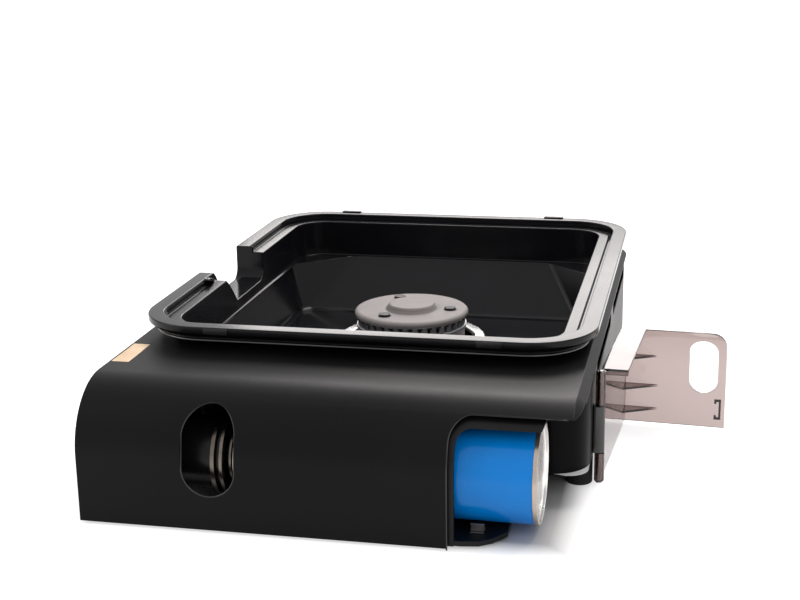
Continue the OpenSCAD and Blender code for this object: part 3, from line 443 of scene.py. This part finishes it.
upright, leftward = (0.0, 0.0, 0.0), (0.0, -math.pi / 2, 0.0)
foot_r, foot_inset, foot_seat = 0.0095, 0.02, 0.0232
low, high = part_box("feet")
left, right = low[0] + foot_r, high[0] - foot_r
front, rear = low[1] + foot_r, high[1] - foot_r
foot_row = [
    (left, front, foot_seat), (right, front, foot_seat),
    (left + foot_inset, rear, foot_seat), (right - foot_inset, rear, foot_seat),
]
screw_row("foot_screw_row", "foot_screws", foot_row, upright, (0.0035, 0.0016), (0.002, 0.0092))

# The top cover: one sheet of steel in satin black enamel, rolled over at the front
# and folded down at the other edges; the oval window and the canister's opening are
# pressed in it, each with a fine rounded lip.
cover_enamel = finish(
    "cover_enamel", (0.0022, 0.0022, 0.0025), (0.0042, 0.0041, 0.0044), (0.35, 0.47),
    (1400.0, 6.0), 0.12, gloss=0.12,
)
eased("top_cover", cover_enamel, edge=0.0005, steps=3)
roll_r = 0.046
front_y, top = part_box("top_cover")[0][1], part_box("top_cover")[1][2]


def front_face(z, inside):
    """The depth of the cover's front at a height, drawn in by inside."""
    up = z - (top - roll_r)
    if up <= 0:
        return front_y + inside
    return front_y + roll_r - math.sqrt(max((roll_r - inside) ** 2 - up ** 2, 0.0))


def arc(middle, radius, start, stop, steps):
    """Points of an arc in the plane, its angles in degrees."""
    turns = [math.radians(start + (stop - start) * k / steps) for k in range(steps + 1)]
    return [(middle[0] + radius * math.cos(t), middle[1] + radius * math.sin(t)) for t in turns]


bead_sides = 10


def bead(name, path, up, radius, material, closed):
    """A rounded bead of sheet along a path, its section square to the path and to up."""
    shape = bmesh.new()
    rings = []
    for i, at in enumerate(path):
        if closed:
            way = path[(i + 1) % len(path)] - path[i - 1]
        else:
            way = path[min(i + 1, len(path) - 1)] - path[max(i - 1, 0)]
        side = way.cross(up).normalized()
        ring = []
        for k in range(bead_sides):
            turn = 2 * math.pi * k / bead_sides
            out = math.cos(turn) * side + math.sin(turn) * up
            ring.append(shape.verts.new(at + radius * out))
        rings.append(ring)
    pairs = list(zip(rings, rings[1:]))
    if closed:
        pairs.append((rings[-1], rings[0]))
    else:
        shape.faces.new(rings[0])
        shape.faces.new(rings[-1])
    for one, two in pairs:
        for k in range(bead_sides):
            n = (k + 1) % bead_sides
            shape.faces.new((one[k], one[n], two[n], two[k]))
    bmesh.ops.recalc_face_normals(shape, faces=shape.faces)
    mesh = bpy.data.meshes.new(name)
    shape.to_mesh(mesh)
    shape.free()
    mesh.shade_smooth()
    mesh.materials.append(material)
    return placed(name, mesh)


# The lips are a lighter, glossier copy of the cover enamel: their lighter colour is a painted
# highlight along each lip.
lip_highlight = finish(
    "lip_highlight", (0.006, 0.006, 0.006), (0.011, 0.011, 0.011), (0.12, 0.22),
)
lip_r, lip_step = 0.0006, 0.004
housing_left = -0.20521978
window_x, window_z = housing_left + 0.092, 0.0552
window_half, window_tall = 0.01825, 0.0295
window_rise = window_tall - window_half
window = arc((window_x, window_z + window_rise), window_half, 0, 180, 40)
window += arc((window_x, window_z - window_rise), window_half, 180, 360, 40)
mouth_x, mouth_z, mouth_r = housing_left + 0.25, 0.086, 0.014
mouth = [(mouth_x, 0.001 + lip_step * k) for k in range(18)]
mouth += arc((mouth_x + mouth_r, mouth_z - mouth_r), mouth_r, 180, 90, 16)
mouth += [(mouth_x + mouth_r + lip_step * k, mouth_z) for k in range(1, 16)]
for name, outline, closed in (("window_lip", window, True), ("mouth_lip", mouth, False)):
    path = [Vector((x, front_face(z, lip_r), z)) for x, z in outline]
    lip = bead(name, path, Vector((0, 1, 0)), lip_r, lip_highlight, closed)
    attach(lip, "housing")

# The plate let into the top, left bare: thin metal sheet with a tan brushed
# finish, glued in its shallow seat.
plate_tan = finish(
    "plate_tan", (0.66, 0.47, 0.30), (0.82, 0.62, 0.43), (0.32, 0.48), (2600.0, 45.0), 0.2,
    metal=0.75,
)
eased("name_plate", plate_tan, edge=0.0003)

# The canister bay: a black moulded frame and floor behind the opening, finely
# grained, and the dull sheet steel leaf that the canister rests on.
bay_moulding = finish(
    "bay_moulding", (0.004, 0.004, 0.0043), (0.008, 0.008, 0.0084), (0.28, 0.42),
    (2200.0, 14.0), 0.22, gloss=0.2,
)
rest_steel = finish(
    "rest_steel", (0.09, 0.09, 0.095), (0.16, 0.16, 0.165), (0.34, 0.48), (2600.0, 70.0), 0.12,
    metal=1.0,
)
eased("canister_bay", bay_moulding, edge=0.0006, steps=3)
eased("can_rest", rest_steel, edge=0.0002)

# The controls on the left end: a black moulded panel, a silver dial plate with
# nine plain marks, and the knob with its grip bar and pointer on a brass spindle.
dial_silver = finish(
    "dial_silver", (0.45, 0.46, 0.47), (0.58, 0.59, 0.60), (0.3, 0.42), (2600.0, 30.0), metal=0.6,
)
eased("control_panel", bay_moulding, edge=0.0005)
eased("knob_dial", dial_silver, edge=0.0003)
mark_tree = bpy.data.node_groups.new("dial_marks", "GeometryNodeTree")
tree_sockets(mark_tree, "INPUT", (
    ("Geometry", "Geometry", None),
    ("Mark size", "Vector", (0.0002, 0.0008, 0.0026)),
    ("Ink", "Material", None),
))
tree_sockets(mark_tree, "OUTPUT", (("Geometry", "Geometry", None),))
given = mark_tree.nodes.new("NodeGroupInput").outputs
bar = add_step(mark_tree, "GeometryNodeMeshCube", {"Size": given["Mark size"]})
lean = add_step(
    mark_tree, "GeometryNodeInputNamedAttribute", {"Name": "lean"}, data_type="FLOAT_VECTOR",
)
set_on_points(mark_tree, given, bar, lean.outputs["Attribute"], given["Ink"])


def marks(name, places, values):
    """Small bars grown on loose points that each carry a turn."""
    points = cloud(name + "_points", [p for p, turn in places])
    held = points.attributes.new("lean", "FLOAT_VECTOR", "POINT")
    for i, (p, turn) in enumerate(places):
        held.data[i].vector = turn
    return grown(name, mark_tree, points, values)


dial_ink = finish(
    "dial_ink", (0.01, 0.01, 0.01), (0.02, 0.02, 0.02), (0.4, 0.5), (2000.0, 40.0),
)
first_mark, mark_gap, mark_count = -35, 18, 9
mark_in, mark_out = 0.0026, 0.0001
low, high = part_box("knob_dial")
dial_y, dial_z = (low[1] + high[1]) / 2, (low[2] + high[2]) / 2
reach = (high[1] - low[1]) / 2 - mark_in
places = []
for i in range(mark_count):
    a = math.radians(first_mark + i * mark_gap)
    places.append((
        (low[0] + mark_out, dial_y + reach * math.sin(a), dial_z + reach * math.cos(a)),
        (-a, 0.0, 0.0),
    ))
dial_marks = marks("dial_marks", places, {"Ink": dial_ink})
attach(dial_marks, "housing")
knob_black = finish(
    "knob_black", (0.008, 0.008, 0.0085), (0.013, 0.013, 0.0135), (0.32, 0.46), (2200.0, 30.0),
    0.2, gloss=0.4,
)
eased("control_knob", knob_black, edge=0.0006, steps=3)
pointer_white = finish(
    "pointer_white", (0.6, 0.6, 0.58), (0.75, 0.75, 0.72), (0.4, 0.5), (2000.0, 60.0),
)
pointer_drop = 0.0042
low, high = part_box("control_knob")
pointer_at = (low[0] + mark_out, dial_y, high[2] - pointer_drop)
pointer = marks("knob_pointer", [(pointer_at, (0.0, 0.0, 0.0))], {
    "Mark size": (0.0002, 0.0014, 0.005), "Ink": pointer_white,
})
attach(pointer, "knob")
brass = finish(
    "brass", (0.50, 0.33, 0.12), (0.62, 0.43, 0.18), (0.22, 0.36), (3000.0, 60.0), 0.08, metal=1.0,
)
eased("valve_spindle", brass, edge=0.0003)

# The regulator behind the window: a die cast valve block, a black body with
# turned rings on a steel bracket, the magnet that holds the canister, and the gas
# pipe with its jet.
cast_zinc = finish(
    "cast_zinc", (0.30, 0.30, 0.31), (0.42, 0.42, 0.43), (0.35, 0.5), (900.0, 25.0), 0.25,
    metal=1.0,
)
leaf_steel = finish(
    "leaf_steel", (0.35, 0.35, 0.36), (0.5, 0.5, 0.51), (0.26, 0.4), (2600.0, 70.0), 0.12,
    metal=1.0,
)
regulator_black = finish(
    "regulator_black", (0.005, 0.005, 0.005), (0.010, 0.009, 0.009), (0.2, 0.3),
    (1800.0, 20.0), 0.15, gloss=0.2,
)
turned_ring = finish(
    "turned_ring", (0.10, 0.085, 0.072), (0.17, 0.145, 0.125), (0.22, 0.34), (2600.0, 60.0),
    metal=1.0,
)
magnet_nickel = finish(
    "magnet_nickel", (0.22, 0.21, 0.20), (0.34, 0.32, 0.30), (0.2, 0.32), (2600.0, 40.0),
    metal=1.0,
)
for node, material, edge in (
    ("valve_block", cast_zinc, 0.0005),
    ("regulator_bracket", leaf_steel, 0.0003),
    ("regulator_body", regulator_black, 0.0006),
    ("regulator_rings", turned_ring, 0.0003),
    ("magnet_ring", magnet_nickel, 0.0005),
    ("gas_pipe", brass, 0.0),
    ("jet_nozzle", brass, 0.0002),
):
    eased(node, material, edge)

# The canister: a tinplate body with a glossy plain blue lacquer, a recessed bright
# base with a browned seam round it, and a domed end with the collar and the valve.
can_lacquer = finish(
    "can_lacquer", (0.0, 0.25, 0.84), (0.003, 0.30, 0.94), (0.12, 0.2), (700.0, 10.0), 0.02,
    gloss=0.25,
)
base_tin = finish(
    "base_tin", (0.92, 0.91, 0.89), (0.99, 0.98, 0.97), (0.22, 0.36), (1600.0, 35.0), 0.06,
    metal=0.85,
)
tinplate = finish(
    "tinplate", (0.74, 0.72, 0.69), (0.88, 0.87, 0.85), (0.14, 0.3), (1600.0, 35.0), 0.06,
    metal=1.0,
)
valve_white = finish(
    "valve_white", (0.66, 0.65, 0.61), (0.76, 0.75, 0.71), (0.4, 0.5), (2000.0, 40.0),
)
seam_inner, seam_outer = 0.0016, 0.0010
low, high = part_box("can_base")
seam_r = (high[2] - low[2]) / 2
can_axis = (0.0, (low[1] + high[1]) / 2, (low[2] + high[2]) / 2)
tree = base_tin.node_tree
place = tree.nodes.new("ShaderNodeTexCoord").outputs["Object"]
across = add_shift(tree, "MULTIPLY", add_shift(tree, "SUBTRACT", place, can_axis), (0.0, 1.0, 1.0))
seam = add_step(tree, "ShaderNodeMapRange", {
    "Value": add_shift(tree, "LENGTH", across).outputs["Value"],
    "From Min": seam_r - seam_inner, "From Max": seam_r - seam_outer,
})
tinted(base_tin, seam, (0.46, 0.39, 0.33))
for node, material, edge in (
    ("can_shell", can_lacquer, 0.0),
    ("can_base", base_tin, 0.0004),
    ("can_dome", tinplate, 0.0003),
    ("can_collar", tinplate, 0.0003),
    ("can_valve", valve_white, 0.0002),
):
    eased(node, material, edge)

# Below the tray: the steel mixing tube, the cast burner body on its bracket,
# the spark unit with its plunger, and the red lead to the electrode.
tube_steel = finish(
    "tube_steel", (0.32, 0.31, 0.30), (0.48, 0.47, 0.46), (0.28, 0.44), (1800.0, 40.0), 0.15,
    metal=1.0,
)
cast_grey = finish(
    "cast_grey", (0.20, 0.185, 0.175), (0.29, 0.27, 0.26), (0.5, 0.66), (1500.0, 22.0), 0.4,
    metal=0.35, gloss=0.4,
)
plunger_black = finish(
    "plunger_black", (0.012, 0.012, 0.012), (0.02, 0.02, 0.02), (0.35, 0.5), (1800.0, 40.0), 0.15,
)
lead_red = finish(
    "lead_red", (0.32, 0.015, 0.012), (0.42, 0.025, 0.02), (0.4, 0.55), (1500.0, 60.0), 0.2,
)
for node, material, edge in (
    ("mixing_tube", tube_steel, 0.0),
    ("burner_body", cast_grey, 0.0005),
    ("burner_bracket", leaf_steel, 0.0003),
    ("piezo_unit", valve_white, 0.0004),
    ("piezo_plunger", plunger_black, 0.0003),
    ("igniter_lead", lead_red, 0.0),
):
    eased(node, material, edge)

# The burner's head: an aluminium crown whose ring of flame slots shows as thin dark bars,
# painted shade for the slot openings, and a cast cap with a flat boss and three dark studs
# that hold it down; the bright ring lies in the tray round it, and the electrode stands beside it.
crown_metal = finish(
    "crown_metal", (0.33, 0.33, 0.34), (0.50, 0.50, 0.51), (0.3, 0.45), (1800.0, 50.0), 0.15,
    metal=1.0,
)
slot_shade = finish(
    "slot_shade", (0.004, 0.004, 0.004), (0.010, 0.009, 0.008), (0.7, 0.9), (1500.0, 80.0), 0.3,
    gloss=0.2,
)
slot_count, slot_drop = 36, 0.0013
eased("burner_crown", crown_metal, edge=0.0002)
low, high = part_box("burner_crown")
crown_x, crown_y = (low[0] + high[0]) / 2, (low[1] + high[1]) / 2
crown_r = (high[0] - low[0]) / 2
places = []
for i in range(slot_count):
    a = 2 * math.pi * i / slot_count
    places.append((
        (crown_x + crown_r * math.cos(a), crown_y + crown_r * math.sin(a), high[2] - slot_drop),
        (0.0, 0.0, a),
    ))
# Each slot head is a thin dark bar on the crown's face: painted shade where the slot opens.
slot_heads = marks("crown_slot_heads", places, {
    "Mark size": (0.0003, 0.0042, 0.0013), "Ink": slot_shade,
})
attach(slot_heads, "housing")
cap_cast = finish(
    "cap_cast", (0.185, 0.168, 0.163), (0.24, 0.218, 0.213), (0.5, 0.66), (1700.0, 14.0), 0.5,
    gloss=0.4,
)
stud_dark = finish(
    "stud_dark", (0.004, 0.004, 0.004), (0.008, 0.007, 0.007), (0.35, 0.5), (1800.0, 40.0), 0.3,
    gloss=0.2,
)
ring_bright = finish(
    "ring_bright", (0.80, 0.80, 0.80), (0.92, 0.92, 0.92), (0.16, 0.26), (2200.0, 18.0), 0.05,
    metal=1.0,
)
ceramic = finish(
    "ceramic", (0.66, 0.64, 0.58), (0.76, 0.74, 0.68), (0.25, 0.4), (1200.0, 60.0),
)
eased("burner_cap", cap_cast, edge=0.0007, steps=3)
eased("cap_studs", stud_dark, edge=0.0)
eased("burner_ring", ring_bright, edge=0.0002)
eased("igniter_electrode", ceramic, edge=0.0003)
eased("electrode_wire", tube_steel, edge=0.0)

# The grill tray: deep drawn aluminium with a gloss black non-stick coat, a folded
# rim with a drip groove, ledge and beaded skirt, four corner posts and the notch;
# four dark clips sit under the rim.
tray_coat = finish(
    "tray_coat", (0.0045, 0.0045, 0.0055), (0.0075, 0.0075, 0.0095), (0.12, 0.22),
    (1500.0, 9.0), gloss=0.17,
)
floor_low, floor_high, slope_top = 0.0315, 0.033, 0.0765
shelf_z, shelf_band = 0.074, 0.0005
well_mid, wall_half, shelf_half, wall_band = -0.0387, 0.1415, 0.1405, 0.0005
opening_clear, well_bend = 0.075, math.radians(9)
low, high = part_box("burner_ring")
opening_mid = Vector(((low[0] + high[0]) / 2, (low[1] + high[1]) / 2))


def side_shelf(at):
    """Draws the well's narrow side shelves back to the wall, where the real sheet flows over."""
    away = abs(at.x - well_mid)
    if abs(at.z - shelf_z) < 0.0003 and abs(away - shelf_half) < 0.0003:
        return well_mid + math.copysign(wall_half, at.x - well_mid)
    return at.x


def well_crease(edge):
    """Tells the creases of the well's floor, posts and side shelves, away from the burner."""
    if edge.is_convex or any(f.normal.z <= -0.05 for f in edge.link_faces):
        return False
    heights = [v.co.z for v in edge.verts]
    middle = (edge.verts[0].co + edge.verts[1].co).xy / 2
    if min(heights) > shelf_z - shelf_band and max(heights) < shelf_z + shelf_band:
        return abs(abs(middle.x - well_mid) - wall_half) < wall_band
    return (
        floor_low < min(heights) < floor_high and max(heights) < slope_top
        and edge.calc_face_angle(0.0) > well_bend
        and (middle - opening_mid).length > opening_clear
    )


eased(
    "grill_tray", tray_coat, edge=0.001, steps=3, pressed=well_crease, bend=0.0045,
    settle=side_shelf,
)
skirt_in, skirt_drop, skirt_r, bead_r, skirt_steps = 0.0072, 0.0115, 0.043, 0.0007, 20
notch_front, notch_rear = 0.162, 0.247
low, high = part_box("grill_tray")
x0, x1 = low[0] + skirt_in, high[0] - skirt_in
y0, y1 = low[1] + skirt_in, high[1] - skirt_in
outline = [(x0, low[1] + notch_front)]
for x, y, start in (
    (x0 + skirt_r, y0 + skirt_r, 180),
    (x1 - skirt_r, y0 + skirt_r, 270),
    (x1 - skirt_r, y1 - skirt_r, 0),
    (x0 + skirt_r, y1 - skirt_r, 90),
):
    outline += arc((x, y), skirt_r, start, start + 90, skirt_steps)
outline += [(x0, low[1] + notch_rear)]
skirt_path = [Vector((x, y, high[2] - skirt_drop)) for x, y in outline]
# The skirt bead is coloured light grey over the black tray coat: a painted highlight along the
# rim's lower edge.
skirt_highlight = finish(
    "skirt_highlight", (0.07, 0.07, 0.071), (0.10, 0.10, 0.101), (0.10, 0.18), bump=0.02, gloss=1.0,
)
skirt_bead = bead("skirt_bead", skirt_path, Vector((0, 0, 1)), bead_r, skirt_highlight, False)
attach(skirt_bead, "tray")
clip_dark = finish(
    "clip_dark", (0.006, 0.006, 0.007), (0.012, 0.012, 0.013), (0.18, 0.28), (1800.0, 40.0), 0.05,
    gloss=0.3,
)
eased("rim_clips", clip_dark, edge=0.0005)

# The door: smoked clear plastic, moulded in one with its flange, ribs and hinge
# knuckles; it darkens with its depth, so its edges are the darkest.
door_clear, door_cloudy = (0.93, 0.90, 0.88), (0.97, 0.94, 0.92)
door_depth, door_tint, door_rough = 530.0, (0.204, 0.036, 0.017), (0.02, 0.07)
door_smoke = bpy.data.materials.new("door_smoke")
door_smoke.use_nodes = True
tree = door_smoke.node_tree
mark = grained(tree, (500.0, 14.0), 0.02)
dull = add_step(tree, "ShaderNodeMapRange", {
    "Value": mark["Cloud"], "To Min": door_rough[0], "To Max": door_rough[1],
})
blend = add_step(tree, "ShaderNodeMix", {
    "A": (*door_clear, 1), "B": (*door_cloudy, 1), "Factor": mark["Cloud"],
}, data_type="RGBA")
drink = add_step(tree, "ShaderNodeVolumeAbsorption", {
    "Color": (*door_tint, 1), "Density": door_depth,
})
shader = tree.nodes["Principled BSDF"]
shader.inputs["Transmission Weight"].default_value = 1.0
shader.inputs["IOR"].default_value = 1.49
tree.links.new(dull.outputs["Result"], shader.inputs["Roughness"])
tree.links.new(blend.outputs["Result"], shader.inputs["Base Color"])
tree.links.new(mark["Normal"], shader.inputs["Normal"])
surface = next(n for n in tree.nodes if n.type == "OUTPUT_MATERIAL")
tree.links.new(drink.outputs["Volume"], surface.inputs["Volume"])
eased("door", door_smoke, edge=0.0003)

# The hook on the door's free edge: a small dark bracket shape with two short lips
# turned in, moulded with the door.
catch_dark = finish(
    "catch_dark", (0.030, 0.022, 0.018), (0.045, 0.034, 0.028), (0.2, 0.35), (1500.0, 40.0),
    gloss=0.4,
)
hook_bar, hook_in, hook_edge = 0.0016, 0.003, 0.0002
low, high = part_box("door_catch")
inner, back = low[0] + hook_in, high[0] - hook_bar
hook = bmesh.new()
for x0, x1, z0, z1 in (
    (back, high[0], low[2], high[2]),
    (inner, back, low[2], low[2] + hook_bar),
    (inner, back, high[2] - hook_bar, high[2]),
    (inner, inner + hook_bar, low[2] + hook_bar, low[2] + 2 * hook_bar),
    (inner, inner + hook_bar, high[2] - 2 * hook_bar, high[2] - hook_bar),
):
    for v in bmesh.ops.create_cube(hook, size=1.0)["verts"]:
        v.co.x = x0 if v.co.x < 0 else x1
        v.co.y = low[1] if v.co.y < 0 else high[1]
        v.co.z = z0 if v.co.z < 0 else z1
bmesh.ops.bevel(
    hook, geom=hook.edges[:], offset=hook_edge, segments=2, affect="EDGES", clamp_overlap=True,
)
hook_mesh = bpy.data.meshes.new("door_hook")
hook.to_mesh(hook_mesh)
hook.free()
hook_mesh.materials.append(catch_dark)
door_hook = placed("door_hook", hook_mesh)
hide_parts("door_catch")
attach(door_hook, "door")

# The hinge: a glossy black block on the pan's right side, held by two screws from
# inside the pan, and the steel pin that the door's knuckles turn on.
block_black = finish(
    "block_black", (0.003, 0.003, 0.003), (0.006, 0.006, 0.006), (0.10, 0.18), (1500.0, 30.0),
    0.05, gloss=0.7,
)
pin_steel = finish(
    "pin_steel", (0.45, 0.45, 0.46), (0.6, 0.6, 0.61), (0.2, 0.32), (2600.0, 80.0), 0.05,
    metal=1.0,
)
eased("hinge_block", block_black, edge=0.0008, steps=3)
eased("hinge_pin", pin_steel, edge=0.0002)
low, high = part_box("hinge_screws")
head_r, head_tall, shank_r = 0.0027, 0.0016, 0.0014
hinge_y = (low[1] + high[1]) / 2
hinge_row = [(low[0] + head_tall, hinge_y, z) for z in (0.0322, 0.0511)]
hinge_shank = (shank_r, high[0] - low[0] - head_tall)
screw_row("hinge_screw_row", "hinge_screws", hinge_row, leftward, (head_r, head_tall), hinge_shank)

# The three flat screws that hold the cover on the left end, over the panel's edge:
# two near the front and one at the top.
low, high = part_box("cover_screws")
head_r, head_tall, shank_r, sheet_in = 0.0027, 0.0007, 0.0015, 0.0014
edge_y = front_y + 0.004
cover_row = [(low[0] + sheet_in, y, z) for y, z in (
    (edge_y, 0.014), (edge_y, top - roll_r - 0.002), (front_y + 0.068, top - 0.004),
)]
cover_shank = (shank_r, high[0] - low[0] - sheet_in)
screw_row("cover_screw_row", "cover_screws", cover_row, leftward, (head_r, head_tall), cover_shank)
